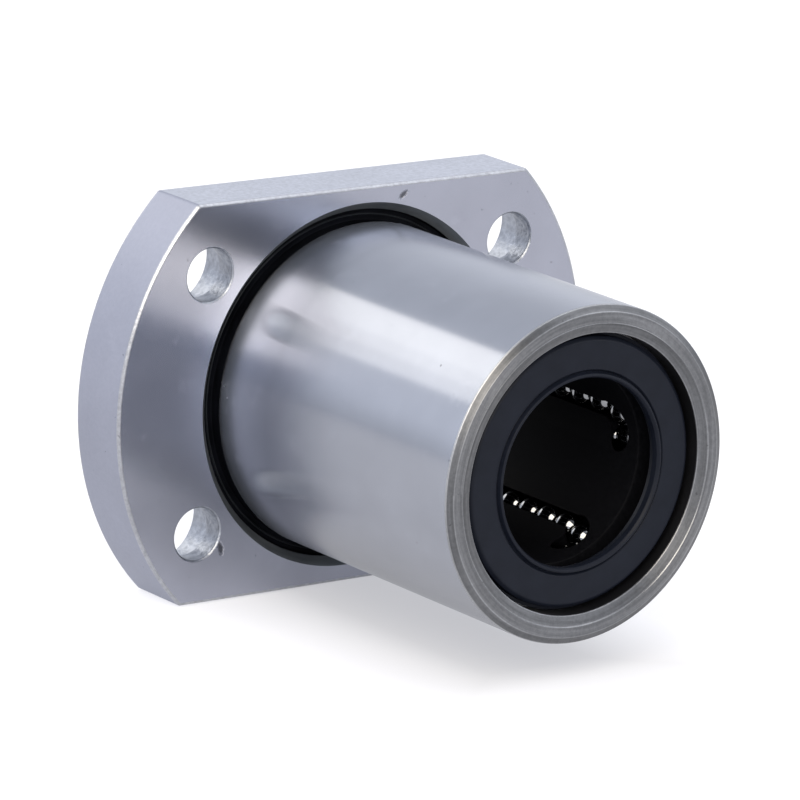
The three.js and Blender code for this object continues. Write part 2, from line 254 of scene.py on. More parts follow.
class Nodes:
    """A material's node tree, with a Principled shader that the helpers feed."""

    def __init__(self, name):
        self.material = bpy.data.materials.new(name)
        self.material.use_nodes = True
        self.tree = self.material.node_tree
        self.shader = self.tree.nodes["Principled BSDF"]

    def add(self, kind, **settings):
        node = self.tree.nodes.new(kind)
        for key, value in settings.items():
            setattr(node, key, value)
        return node

    def join(self, source, target):
        self.tree.links.new(source, target)

    def set(self, **values):
        for key, value in values.items():
            self.shader.inputs[key.replace("_", " ")].default_value = value

    def math(self, operation, first, second=None):
        node = self.add("ShaderNodeMath", operation=operation)
        for socket, value in zip(node.inputs, (first, second)):
            if value is None:
                continue
            if isinstance(value, (int, float)):
                socket.default_value = value
            else:
                self.join(value, socket)
        return node.outputs[0]

    def place(self):
        """X, Y and Z in millimetres, then the distance from the bore axis and the angle about it."""
        coordinates = self.add("ShaderNodeTexCoord")
        split = self.add("ShaderNodeSeparateXYZ")
        self.join(coordinates.outputs["Object"], split.inputs[0])
        x, y, z = (self.math("MULTIPLY", output, 1 / MM) for output in split.outputs)
        squares = self.math("ADD", self.math("MULTIPLY", x, x), self.math("MULTIPLY", z, z))
        return x, y, z, self.math("SQRT", squares), self.math("ARCTAN2", z, x)

    def vector(self, *parts):
        combine = self.add("ShaderNodeCombineXYZ")
        for part, socket in zip(parts, combine.inputs):
            if isinstance(part, (int, float)):
                socket.default_value = part
            else:
                self.join(part, socket)
        return combine.outputs[0]

    def noise(self, vector, scale, detail=3.0, roughness=0.5):
        node = self.add("ShaderNodeTexNoise")
        self.join(vector, node.inputs["Vector"])
        node.inputs["Scale"].default_value = scale
        node.inputs["Detail"].default_value = detail
        node.inputs["Roughness"].default_value = roughness
        return node.outputs["Fac"]

    def span(self, value, low, high, to_low=0.0, to_high=1.0):
        """value carried from low..high to to_low..to_high, held at the ends."""
        node = self.add("ShaderNodeMapRange")
        self.join(value, node.inputs["Value"])
        settings = (("From Min", low), ("From Max", high), ("To Min", to_low), ("To Max", to_high))
        for key, number in settings:
            node.inputs[key].default_value = number
        return node.outputs[0]

    def blend_colour(self, factor, first, second):
        node = self.add("ShaderNodeMix", data_type="RGBA")
        self.join(factor, node.inputs["Factor"])
        for socket, value in ((node.inputs[6], first), (node.inputs[7], second)):
            if isinstance(value, tuple):
                socket.default_value = (*value, 1)
            else:
                self.join(value, socket)
        return node.outputs[2]

    def ramp(self, value, stops):
        """value, from 0 to 1, looked up along stops of (position, level), with levels up to 2."""
        node = self.add("ShaderNodeValToRGB")
        self.join(value, node.inputs[0])
        points = node.color_ramp.elements
        while len(points) < len(stops):
            points.new(0.5)
        for point, (position, level) in zip(points, stops):
            point.position = position
            point.color = (level / 2, level / 2, level / 2, 1)
        return self.math("MULTIPLY", node.outputs[0], 2.0)

    def tint(self, colour, level):
        """colour with all its channels multiplied by level."""
        node = self.add("ShaderNodeVectorMath", operation="SCALE")
        self.join(colour, node.inputs[0])
        self.join(level, node.inputs["Scale"])
        return node.outputs[0]

    def dent(self, x, z, centre, long_side, tilt, ratio):
        """1 in the middle of a small oval mark on a face square to Y, falling to 0 at its edge."""
        across = self.math("SUBTRACT", x, centre[0])
        up = self.math("SUBTRACT", z, centre[1])
        cosine, sine = math.cos(tilt), math.sin(tilt)
        along = self.math("ADD", self.math("MULTIPLY", across, cosine), self.math("MULTIPLY", up, sine))
        aside = self.math(
            "SUBTRACT", self.math("MULTIPLY", up, cosine), self.math("MULTIPLY", across, sine))
        wide = self.math("MULTIPLY", aside, ratio)
        squares = self.math("ADD", self.math("MULTIPLY", along, along), self.math("MULTIPLY", wide, wide))
        wobble = self.noise(self.vector(x, 0.0, z), 2.2, detail=4, roughness=0.7)
        ragged = self.span(wobble, 0.3, 0.7, 0.65, 1.35)
        distance = self.math("MULTIPLY", self.math("SQRT", squares), ragged)
        return self.span(distance, long_side / 2, long_side / 5, 0.0, 1.0)

    def bump(self, *layers):
        """Each layer is (height, strength, depth in millimetres)."""
        normal = None
        for height, strength, depth in layers:
            node = self.add("ShaderNodeBump")
            node.inputs["Strength"].default_value = strength
            node.inputs["Distance"].default_value = depth * MM
            self.join(height, node.inputs["Height"])
            if normal is not None:
                self.join(normal, node.inputs["Normal"])
            normal = node.outputs[0]
        self.join(normal, self.shader.inputs["Normal"])


GRIT_DEPTH = 0.05
DENT_SLIMNESS = 2.2
DENT_DEPTH = 0.08
SHOULDER_ROUGHENING = 0.02


def scaled(colour, factor):
    return tuple(channel * factor for channel in colour)


def tool_marks(nodes, place, marks, pitch):
    """Where the tool marks' noise is looked up, and the way across them, or None where they run no way."""
    x, y, z, radius, angle = place
    along = nodes.math("MULTIPLY", angle, 1.5)
    if marks == "round_tube":
        return nodes.vector(along, nodes.math("MULTIPLY", y, 1 / pitch), 0.0), nodes.vector(0.0, 1.0, 0.0)
    if marks == "round_face":
        return nodes.vector(along, nodes.math("MULTIPLY", radius, 1 / pitch), 0.0), nodes.vector(x, 0.0, z)
    return nodes.vector(*(nodes.math("MULTIPLY", part, 1 / pitch) for part in (x, y, z))), None


def painted_ring_levels(nodes, radius, rings):
    """The painted highlight and shade level at a radius, from (radius, level) stops."""
    low, high = rings[0][0], rings[-1][0]
    stops = [((stop - low) / (high - low), level) for stop, level in rings]
    return nodes.ramp(nodes.span(radius, low, high), stops)


def steel(
        name, colour, roughness, marks, pitch=0.1, depth=0.002, streaks=0.0, stretch=0.0, rings=(),
        dents=(), rough_shoulder_and_painted_reflection=None, grit=0.0):
    """Machined steel. marks says which way the tool marks run: round the tube, round a face, or no way.

    pitch and depth are the tool marks' spacing and height in millimetres, and streaks is how far they
    change the colour. stretch is how far they draw reflections out across themselves. rings are (radius,
    level) stops for turned bands of lighter and darker colour, painted highlight and painted shade, and
    dents are small knocks in a face square to Y. The shoulder argument is (low, high, level): from low to
    high along Y the ground finish gives way to rougher metal, and its colour is painted brighter towards
    level, a painted reflection. grit is how far a fine mottling lightens and darkens the metal.
    """
    nodes = Nodes(name)
    nodes.set(Metallic=1.0, Anisotropic=stretch)
    place = nodes.place()
    x, y, z, radius = place[:4]
    spot = nodes.vector(x, y, z)
    grain_place, across = tool_marks(nodes, place, marks, pitch)
    if across is not None:
        nodes.join(across, nodes.shader.inputs["Tangent"])
    grain = nodes.noise(grain_place, 1.0, detail=3, roughness=0.55)
    clouds = nodes.noise(spot, 0.16, detail=3)
    smudges = nodes.noise(spot, 0.3, detail=4, roughness=0.7)
    specks = nodes.noise(spot, 2.2, detail=2)
    clean = nodes.blend_colour(nodes.span(clouds, 0.3, 0.7), scaled(colour, 0.95), scaled(colour, 1.05))
    marked = nodes.blend_colour(nodes.span(grain, 0.35, 0.65, 0.0, streaks), clean, scaled(colour, 0.5))
    smudged = nodes.blend_colour(nodes.span(smudges, 0.6, 0.75, 0.0, 0.22), marked, scaled(colour, 1.4))
    shade = nodes.blend_colour(nodes.span(specks, 0.74, 0.78, 0.0, 0.6), smudged, scaled(colour, 0.4))
    heights = [(grain, 1.0, depth)]
    if grit:
        mottle = nodes.noise(spot, 2.6, detail=4, roughness=0.75)
        shade = nodes.tint(shade, nodes.span(mottle, 0.36, 0.64, 1 - grit, 1 + grit))
        heights.append((mottle, 1.0, grit * GRIT_DEPTH))
    # Turned bands of painted highlight and painted shade.
    if rings:
        shade = nodes.tint(shade, painted_ring_levels(nodes, radius, rings))
    # Near the flange the colour is painted brighter, a painted reflection, and the metal gets rougher.
    if rough_shoulder_and_painted_reflection:
        low, high, level = rough_shoulder_and_painted_reflection
        shade = nodes.tint(shade, nodes.span(y, low, high, 1.0, level))
    for centre, long_side, tilt in dents:
        mark = nodes.dent(x, z, centre, long_side, tilt, DENT_SLIMNESS)
        shade = nodes.blend_colour(nodes.math("MULTIPLY", mark, 0.8), shade, scaled(colour, 0.12))
        heights.append((nodes.math("SUBTRACT", 1.0, mark), 1.0, DENT_DEPTH))
    nodes.join(shade, nodes.shader.inputs["Base Color"])
    rough = nodes.math(
        "ADD",
        nodes.span(clouds, 0.3, 0.7, roughness * 0.94, roughness * 1.06),
        nodes.span(smudges, 0.6, 0.75, 0.0, 0.05))
    if rough_shoulder_and_painted_reflection:
        low, high, level = rough_shoulder_and_painted_reflection
        rough = nodes.math("ADD", rough, nodes.span(y, low, high, 0.0, SHOULDER_ROUGHENING))
    nodes.join(rough, nodes.shader.inputs["Roughness"])
    nodes.bump(*heights)
    return nodes.material


def black_oxide(name, darkest, lightest, metal, gloss):
    """The groove's darkened steel. metal and gloss are the shader's metallic and specular levels."""
    nodes = Nodes(name)
    nodes.set(Metallic=metal, Roughness=0.42, Specular_IOR_Level=gloss)
    _, y, _, radius, angle = nodes.place()
    stain = nodes.noise(nodes.vector(nodes.math("MULTIPLY", angle, 3.0), radius, y), 1.4, detail=4)
    base = nodes.blend_colour(nodes.span(stain, 0.3, 0.7), darkest, lightest)
    nodes.join(base, nodes.shader.inputs["Base Color"])
    nodes.bump((stain, 0.2, 0.02))
    return nodes.material


def rubber():
    nodes = Nodes("seal_rubber")
    nodes.set(Specular_IOR_Level=0.11)
    x, y, z = nodes.place()[:3]
    spot = nodes.vector(x, y, z)
    bloom = nodes.noise(spot, 0.5, detail=5, roughness=0.6)
    grain = nodes.noise(spot, 9.0, detail=3)
    base = nodes.blend_colour(
        nodes.span(bloom, 0.3, 0.7), (0.0040, 0.0054, 0.0100), (0.0060, 0.0078, 0.0138))
    nodes.join(base, nodes.shader.inputs["Base Color"])
    nodes.join(nodes.span(bloom, 0.3, 0.7, 0.38, 0.5), nodes.shader.inputs["Roughness"])
    nodes.bump((grain, 0.12, 0.02))
    return nodes.material


def resin():
    nodes = Nodes("black_resin")
    nodes.set(Specular_IOR_Level=0.035)
    x, y, z = nodes.place()[:3]
    grain = nodes.noise(nodes.vector(x, y, z), 3.0, detail=4)
    base = nodes.blend_colour(
        nodes.span(grain, 0.3, 0.7), (0.0018, 0.0019, 0.0026), (0.0034, 0.0036, 0.0048))
    nodes.join(base, nodes.shader.inputs["Base Color"])
    nodes.join(nodes.span(grain, 0.3, 0.7, 0.45, 0.6), nodes.shader.inputs["Roughness"])
    nodes.bump((grain, 0.15, 0.02))
    return nodes.material


def ball_steel():
    nodes = Nodes("bearing_balls")
    nodes.set(Metallic=1.0)
    x, y, z = nodes.place()[:3]
    film = nodes.noise(nodes.vector(x, y, z), 1.8, detail=3)
    base = nodes.blend_colour(nodes.span(film, 0.3, 0.7), (0.20, 0.205, 0.215), (0.25, 0.255, 0.265))
    nodes.join(base, nodes.shader.inputs["Base Color"])
    nodes.join(nodes.span(film, 0.3, 0.7, 0.05, 0.1), nodes.shader.inputs["Roughness"])
    return nodes.material


# The plain end's face: a painted highlight line at each edge and turned step, and painted shade on its two
# cones.
END_PAINTED_LIGHT_RINGS = (
    (11.60, 1.5), (11.69, 1.5), (11.76, 0.85), (12.44, 0.72), (12.49, 1.35), (12.56, 1.5), (12.62, 1.0),
    (13.36, 1.05), (13.40, 1.5), (13.45, 1.5), (13.50, 0.85), (13.92, 0.78), (13.97, 2.0), (14.05, 2.0))
# Two knocks in the flange's front face: where each is, how long, and which way it lies.
FACE_DENTS = (((3.9, 15.9), 1.25, 0.6), ((-13.05, -12.5), 1.5, 1.85))

# Where the tube runs up to the flange: from here to here along Y its metal gets rougher, and the last
# number is how much brighter its colour is painted there, a painted reflection.
SHOULDER_ROUGHNESS_AND_PAINTED_REFLECTION = (FACE_Y - 6.5, FACE_Y - 0.5, 1.75)

TUBE_STEEL = steel(
    "tube_steel", (0.290, 0.305, 0.345), 0.21, "round_tube", 0.12, 0.0003, stretch=0.88, rough_shoulder_and_painted_reflection=SHOULDER_ROUGHNESS_AND_PAINTED_REFLECTION)
FACE_COLOUR = (0.326, 0.339, 0.398)
FACE_STEEL = steel(
    "face_steel", FACE_COLOUR, 0.22, "round_face", 0.15, 0.00008, stretch=0.4, dents=FACE_DENTS)
OXIDE_RIDGE = black_oxide("dark_oxide", (0.012, 0.014, 0.017), (0.022, 0.025, 0.030), 0.6, 0.05)
BACK_STEEL = steel("back_steel", FACE_COLOUR, 0.24, "round_face", 0.15, 0.00008, stretch=0.4)
RIM_STEEL = steel("rim_steel", (0.29, 0.305, 0.368), 0.58, "random", 0.25, 0.006, grit=0.025)
FLAT_STEEL = steel("flat_steel", (0.408, 0.424, 0.475), 0.42, "random", 0.25, 0.006, grit=0.12)
END_STEEL = steel(
    "end_steel", (0.178, 0.182, 0.192), 0.38, "round_face", 0.3, 0.01, streaks=0.6, stretch=0.7,
    rings=END_PAINTED_LIGHT_RINGS, grit=0.11)
HOLE_STEEL = steel("hole_steel", (0.31, 0.33, 0.375), 0.38, "random", 0.45, 0.07, streaks=0.5)
BORE_STEEL = steel("bore_steel", (0.08, 0.08, 0.09), 0.4, "round_tube", 0.12, 0.002)
EDGE_STEEL = steel("edge_steel", (0.33, 0.34, 0.37), 0.32, "random", 0.35, 0.02, grit=0.16)
OXIDE_FLOOR = black_oxide("black_oxide", (0.001, 0.0012, 0.0018), (0.0035, 0.004, 0.006), 0.0, 0.012)
OXIDE_WALL = black_oxide("grey_oxide", (0.082, 0.092, 0.103), (0.128, 0.140, 0.153), 0.6, 0.12)
SPRING_STEEL = steel("spring_steel", (0.25, 0.25, 0.26), 0.34, "random", 0.2, 0.003)
RUBBER = rubber()
RESIN = resin()
BALL_STEEL = ball_steel()

SLEEVE_MATERIALS = [
    TUBE_STEEL, FACE_STEEL, RIM_STEEL, FLAT_STEEL, END_STEEL, HOLE_STEEL, BORE_STEEL, EDGE_STEEL,
    OXIDE_FLOOR, OXIDE_WALL, BACK_STEEL, OXIDE_RIDGE]
TUBE, FACE, RIM, FLAT, END, HOLE, BORE, EDGE, GROOVE, WALL, BACK, RIDGE = range(len(SLEEVE_MATERIALS))


# ---- the layout of the ball circuits ----


class Circuit:
    """Where one circuit's rows lie, from the CAD's own rows of balls."""

    def __init__(self, number):
        self.number = number
        self.load = self.row_place(f"load_balls_{number}")
        self.back = self.row_place(f"return_balls_{number}")
        self.middle = (self.load + self.back) / 2
        self.across = (self.back - self.load).normalized()
        self.turn_radius = (self.back - self.load).length / 2

    @staticmethod
    def row_place(node):
        low, high = box_mm(node)
        return Vector(((low.x + high.x) / 2, 0, (low.z + high.z) / 2))


circuits = [Circuit(number + 1) for number in range(CIRCUITS)]


# ---- the sleeve ----

CORNER_RADIUS = 0.45
FLANGE_CHAMFER = 0.16
ARC_STEPS = 150
FLAT_STEPS = 60
CORNER_STEPS = 5


def arc(centre, radius, start, stop, steps):
    turns = [start + (stop - start) * step / steps for step in range(steps)]
    return [(centre[0] + radius * math.cos(a), centre[1] + radius * math.sin(a)) for a in turns]


def flange_outline(inset, y):
    """The flange's outline in the plane at y, inset a little: two arcs, two flats and four soft corners."""
    corner_z = FLAT_Z - CORNER_RADIUS
    corner_x = math.sqrt((FLANGE_RADIUS - CORNER_RADIUS) ** 2 - corner_z ** 2)
    tilt = math.atan2(corner_z, corner_x)
    corner = CORNER_RADIUS - inset
    up = math.pi / 2
    flat_z = FLAT_Z - inset
    line = arc((0, 0), FLANGE_RADIUS - inset, -tilt, tilt, ARC_STEPS)
    line += arc((corner_x, corner_z), corner, tilt, up, CORNER_STEPS)
    line += [(corner_x * (1 - 2 * step / FLAT_STEPS), flat_z) for step in range(FLAT_STEPS)]
    line += arc((-corner_x, corner_z), corner, up, math.pi - tilt, CORNER_STEPS)
    line += arc((0, 0), FLANGE_RADIUS - inset, math.pi - tilt, math.pi + tilt, ARC_STEPS)
    line += arc((-corner_x, -corner_z), corner, math.pi + tilt, 3 * up, CORNER_STEPS)
    line += [(-corner_x * (1 - 2 * step / FLAT_STEPS), -flat_z) for step in range(FLAT_STEPS)]
    line += arc((corner_x, -corner_z), corner, 3 * up, 2 * math.pi - tilt, CORNER_STEPS)
    return [(x, y, z) for x, z in line]


def race_ring(base_radius, y, count=360):
    """A ring of the raceway bore, with a hollow behind each return row."""
    hollow = TURN_ZONE_RADIUS - circuits[0].back.length
    points = []
    for index in range(count):
        turn = 2 * math.pi * index / count
        direction = Vector((math.cos(turn), 0, math.sin(turn)))
        reach = base_radius
        for circuit in circuits:
            along = direction.dot(circuit.back)
            inside = hollow ** 2 - (circuit.back.length_squared - along ** 2)
            if along > 0 and inside > 0:
                reach = max(reach, along + math.sqrt(inside))
        points.append((direction.x * reach, y, direction.z * reach))
    return points


def hole_places():
    return [(x, z) for x in (-HOLE_X, HOLE_X) for z in (-HOLE_Z, HOLE_Z)]


def make_sleeve():
    """The sleeve with its flange, one closed skin. The order is outside, flange, holes, inside."""
    solid = Solid()
    wall_top = add_tube_and_groove(solid)
    front_edge, back_edge = add_flange_edge(solid)
    front_mouths, back_mouths = add_holes(solid)
    solid.panel(front_edge, [wall_top, *front_mouths], FACE)
    back_mouth = add_turned(solid, back_mouth_line(), EDGE)
    solid.panel(back_edge, [back_mouth[0], *back_mouths], BACK)
    add_inside(solid)
    bmesh.ops.remove_doubles(solid.mesh, verts=solid.mesh.verts, dist=1e-5)
    solid.panel_edges = [edge for edge in solid.panel_edges if edge is not None and edge.is_valid]
    return solid.finish("sleeve_body", SLEEVE_MATERIALS)


def add_turned(solid, line, slot):
    """One strip of skin, turned from line about the axis of the bore. Gives its rings."""
    rings = turned_rings(solid, supported(rounded(line, 0.05)))
    solid.strips(rings, slot)
    return rings


def add_tube_and_groove(solid):
    """The outside from the tube's mouth to the groove at the flange. Gives the groove's last ring."""
    floor_y = FACE_Y + RELIEF_DEPTH
    end_line = [
        (MOUTH_RADIUS, -END_Y + 0.4),
        (MOUTH_RADIUS + 0.02, -END_Y + 0.3, 0.06),
        (END_CONE_RADIUS - 0.13, -END_Y + 0.05, 0.03),
        (END_CONE_RADIUS - 0.07, -END_Y + 0.07, 0.02),
        (END_CONE_RADIUS, -END_Y, 0.04),
        (END_CHAMFER_RADIUS, -END_Y, 0.06),
        (TUBE_RADIUS, -END_Y + END_CHAMFER_DEPTH, 0.12),
        (TUBE_RADIUS, -END_Y + END_CHAMFER_DEPTH + 0.15),
    ]
    tube_line = [
        (TUBE_RADIUS, -END_Y + END_CHAMFER_DEPTH + 0.15),
        (TUBE_RADIUS, FACE_Y - 0.2),
        (TUBE_RADIUS - 0.12, FACE_Y + 0.1),
    ]
    floor_line = [
        (TUBE_RADIUS - 0.12, FACE_Y + 0.1),
        (TUBE_RADIUS - 0.15, floor_y, 0.15),
        (RIDGE_START, floor_y),
    ]
    ridge_line = [
        (RIDGE_START, floor_y),
        (RIDGE_START + 0.09, FACE_Y + 1.08, 0.06),
        (RIDGE_STOP, floor_y),
    ]
    wall_foot = (RELIEF_WALL_FOOT[0], FACE_Y + RELIEF_WALL_FOOT[1])
    outer_floor_line = [
        (RIDGE_STOP, floor_y),
        (14.84, FACE_Y + 1.18, 0.05),
        wall_foot,
    ]
    wall_line = [
        wall_foot,
        (RELIEF_RADIUS - 0.03, FACE_Y + 0.03, 0.03),
        (RELIEF_RADIUS, FACE_Y),
    ]
    add_turned(solid, end_line, END)
    add_turned(solid, tube_line, TUBE)
    add_turned(solid, floor_line, GROOVE)
    add_turned(solid, ridge_line, RIDGE)
    add_turned(solid, outer_floor_line, GROOVE)
    return add_turned(solid, wall_line, WALL)[-1]


def add_flange_edge(solid):
    """The flange's edge all round with its two chamfers. Gives the outlines of its front and back face."""
    edge_line = [
        (FLANGE_CHAMFER + 0.1, FACE_Y),
        (FLANGE_CHAMFER, FACE_Y, 0.08),
        (0, FACE_Y + FLANGE_CHAMFER, 0.08),
        (0, FACE_Y + FLANGE_CHAMFER + 0.1),
    ]
    profile = rounded(edge_line, 0.05, 3)
    middle_y = (FACE_Y + END_Y) / 2
    front_edge = [solid.ring(flange_outline(inset, y)) for inset, y in profile]
    back_edge = [solid.ring(flange_outline(inset, 2 * middle_y - y)) for inset, y in profile]
    solid.strips(front_edge, EDGE)
    for face in solid.strip(front_edge[-1], back_edge[-1], RIM):
        if all(abs(vert.co.z) > FLAT_Z - 1e-4 for vert in face.verts):
            face.material_index = FLAT
    solid.strips(back_edge, EDGE)
    return front_edge[0], back_edge[0]


def add_holes(solid):
    """Four holes with counterbores at the back. Gives the rings of their front and of their back mouths."""
    front_mouths = []
    back_mouths = []
    seat_y = END_Y - COUNTERBORE_DEPTH
    for place in hole_places():
        hole_line = [
            (HOLE_RADIUS + 0.15, FACE_Y),
            (HOLE_RADIUS + 0.1, FACE_Y + 0.02, 0.03),
            (HOLE_RADIUS, FACE_Y + 0.12, 0.1),
            (HOLE_RADIUS, seat_y, 0.04),
            (COUNTERBORE_RADIUS, seat_y, 0.12),
            (COUNTERBORE_RADIUS, END_Y - 0.2, 0.04),
            (COUNTERBORE_RADIUS + 0.2, END_Y),
        ]
        rings = turned_rings(solid, supported(rounded(hole_line, 0.05)), 96, place)
        solid.strips(rings, HOLE)
        front_mouths.append(rings[0])
        back_mouths.append(rings[-1])
    return front_mouths, back_mouths


def back_mouth_line():
    return [
        (MOUTH_RADIUS + 0.15, END_Y),
        (MOUTH_RADIUS, END_Y - 0.15, 0.05),
        (MOUTH_RADIUS, END_Y - 0.35),
    ]


def bore_line(side, start):
    """The bore from start, past the ring groove, to the zone where the balls turn."""
    return [
        (MOUTH_RADIUS, side * start),
        (MOUTH_RADIUS, side * WASHER_NEAR, 0.05),
        (RING_GROOVE_RADIUS, side * WASHER_NEAR, 0.08),
        (RING_GROOVE_RADIUS, side * CAGE_END, 0.08),
        (TURN_ZONE_RADIUS, side * CAGE_END, 0.05),
        (TURN_ZONE_RADIUS, side * (ROW_HALF_LENGTH - 0.2)),
    ]


def add_inside(solid):
    """The bore behind both mouths, and the raceway between them."""
    back_bore = add_turned(solid, bore_line(1, END_Y - 0.35), BORE)
    front_bore = add_turned(solid, bore_line(-1, END_Y - 0.4), BORE)
    race_heights = [side * (ROW_HALF_LENGTH - 0.5 - 0.1 * step) for side in (1, -1) for step in (0, 1)]
    race_heights.sort(reverse=True)
    race = [solid.ring(race_ring(RACE_RADIUS, y)) for y in race_heights]
    solid.strips([back_bore[-1], *race, front_bore[-1]], BORE)


# ---- what sits in the mouths ----

RING_STEPS = 200


def mirrored_profile(profile, side):
    """A profile of (radius, distance from the middle), at the flange for side 1 and the tube end for -1."""
    return [(radius, side * distance) for radius, distance in profile]


def make_seal(name, side):
    """The rubber seal: a flat face, a rounded rim with a foot behind it, and a raised lip at the shaft."""
    face = SEAL_FAR - 0.25
    line = [
        (SEAL_LIP_RADIUS + 0.15, SEAL_NEAR + 0.2),
        (SEAL_LIP_RADIUS, SEAL_NEAR + 0.7, 0.1),
        (SEAL_LIP_RADIUS, face + 0.02, 0.1),
        (SEAL_LIP_RADIUS + 0.17, SEAL_FAR, 0.12),
        (SEAL_LIP_RADIUS + 0.36, SEAL_FAR - 0.06, 0.08),
        (SEAL_LIP_RADIUS + 0.46, face - 0.28, 0.08),
        (SEAL_LIP_RADIUS + 0.66, face, 0.08),
        (SEAL_RADIUS - 0.62, face, 0.35),
        (SEAL_RADIUS - 0.3, face - 0.28, 0.15),
        (SEAL_RADIUS - 0.3, SEAL_NEAR + 0.35, 0.05),
        (SEAL_RADIUS, SEAL_NEAR + 0.35, 0.05),
        (SEAL_RADIUS, SEAL_NEAR, 0.05),
        (SEAL_LIP_RADIUS + 0.85, SEAL_NEAR, 0.1),
        (SEAL_LIP_RADIUS + 0.15, SEAL_NEAR + 0.2),
    ]
    profile = supported(rounded(line, 0.1, 6))[:-1]
    return turned_piece(name, mirrored_profile(profile, side), [RUBBER], 300)


def make_washer(name, side):
    """The flat steel washer behind a seal."""
    line = [
        (WASHER_INNER_RADIUS, (WASHER_NEAR + WASHER_FAR) / 2),
        (WASHER_INNER_RADIUS, WASHER_FAR),
        (WASHER_RADIUS, WASHER_FAR),
        (WASHER_RADIUS, WASHER_NEAR),
        (WASHER_INNER_RADIUS, WASHER_NEAR),
        (WASHER_INNER_RADIUS, (WASHER_NEAR + WASHER_FAR) / 2),
    ]
    profile = supported(rounded(line, 0.08), 0.03)[:-1]
    return turned_piece(name, mirrored_profile(profile, side), [SPRING_STEEL])


def make_end_ring(name, side):
    """A split ring, swept from one side of its gap to the other. The gap is where the CAD's box shows it."""
    node = "front_end_ring" if side < 0 else "rear_end_ring"
    line = [
        (RING_INNER_RADIUS, (RING_NEAR + RING_FAR) / 2),
        (RING_INNER_RADIUS, RING_FAR),
        (RING_RADIUS, RING_FAR),
        (RING_RADIUS, RING_NEAR),
        (RING_INNER_RADIUS, RING_NEAR),
        (RING_INNER_RADIUS, (RING_NEAR + RING_FAR) / 2),
    ]
    profile = mirrored_profile(rounded(line, 0.12)[:-1], side)
    low, high = box_mm(node)
    gap_at = 0 if high.x < -low.x else math.pi
    solid = Solid()
    sections = []
    for step in range(RING_STEPS + 1):
        turn = gap_at + RING_GAP_ANGLE / 2 + (2 * math.pi - RING_GAP_ANGLE) * step / RING_STEPS
        sections.append(solid.ring([(r * math.cos(turn), y, r * math.sin(turn)) for r, y in profile]))
    solid.strips(sections)
    solid.panel(sections[0])
    solid.panel(sections[-1])
    return solid.finish(name, [SPRING_STEEL])


# ---- the cage and its balls ----


TRACK_SIDES = 24
TRACK_TURN_STEPS = 20


def track_path(circuit):
    """A circuit's closed track: each section's centre, its half width, and its half depth towards the bore.

    The depth grows by TURN_WINDOW in the turns, so that their balls show through the cage.
    """
    radius = BALL_RADIUS + TRACK_CLEARANCE
    inwards = circuit.across.cross(Vector((0, 1, 0)))
    path = []
    for side in (1, -1):
        for step in range(TRACK_TURN_STEPS + 1):
            turn = math.pi * step / TRACK_TURN_STEPS
            outwards = Vector((0, side, 0)) * (ROW_HALF_LENGTH + circuit.turn_radius * math.sin(turn))
            sideways = circuit.across * (-side * circuit.turn_radius * math.cos(turn))
            away = circuit.across * (-side * math.cos(turn)) + Vector((0, side * math.sin(turn), 0))
            depth = radius + TURN_WINDOW * math.sin(turn)
            path.append((circuit.middle + outwards + sideways, away * radius, inwards * depth))
    return path


def track_cutter():
    """Every circuit's track, as one mesh of closed tubes to cut the cage with."""
    solid = Solid()
    turns = [2 * math.pi * index / TRACK_SIDES for index in range(TRACK_SIDES)]
    for circuit in circuits:
        rings = []
        for place, wide, deep in track_path(circuit):
            rings.append(solid.ring([place + wide * math.cos(a) + deep * math.sin(a) for a in turns]))
        solid.strips(rings + rings[:1])
    return solid.finish("track_cutter", [RESIN])


def make_cage():
    """The ball retainer: a turned shell with a collar at each end, and the tracks cut through it."""
    collar = CAGE_END - CAGE_COLLAR_WIDTH
    line = [
        (CAGE_INNER_RADIUS, 0),
        (CAGE_INNER_RADIUS, CAGE_END, 0.2),
        (CAGE_COLLAR_RADIUS, CAGE_END, 0.15),
        (CAGE_COLLAR_RADIUS, collar, 0.1),
        (CAGE_OUTER_RADIUS, collar, 0.1),
        (CAGE_OUTER_RADIUS, -collar, 0.1),
        (CAGE_COLLAR_RADIUS, -collar, 0.1),
        (CAGE_COLLAR_RADIUS, -CAGE_END, 0.15),
        (CAGE_INNER_RADIUS, -CAGE_END, 0.2),
        (CAGE_INNER_RADIUS, 0),
    ]
    cage = turned_piece("cage", rounded(line, 0.1)[:-1], [RESIN], 180)
    cutter = track_cutter()
    cut = cage.modifiers.new("tracks", "BOOLEAN")
    cut.operation = "DIFFERENCE"
    cut.solver = "EXACT"
    cut.object = cutter
    depsgraph = bpy.context.evaluated_depsgraph_get()
    finished = bpy.data.meshes.new_from_object(cage.evaluated_get(depsgraph))
    cage.modifiers.clear()
    cage.data = finished
    bpy.data.objects.remove(cutter)
    shape = bmesh.new()
    shape.from_mesh(finished)
    bmesh.ops.remove_doubles(shape, verts=shape.verts, dist=1e-7)
    for edge in shape.edges:
        edge.smooth = len(edge.link_faces) == 2 and edge.calc_face_angle() < SHARP_ANGLE
    for face in shape.faces:
        face.smooth = True
    shape.to_mesh(finished)
    shape.free()
    return cage


def make_balls(name, centres):
    """One group of balls as one piece."""
    shape = bmesh.new()
    for centre in centres:
        matrix = Matrix.Translation(centre * MM)
        bmesh.ops.create_uvsphere(
            shape, u_segments=40, v_segments=20, radius=BALL_RADIUS * MM, matrix=matrix)
    for face in shape.faces:
        face.smooth = True
    data = bpy.data.meshes.new(name)
    shape.to_mesh(data)
    shape.free()
    data.materials.append(BALL_STEEL)
    piece = bpy.data.objects.new(name, data)
    bpy.context.scene.collection.objects.link(piece)
    return piece


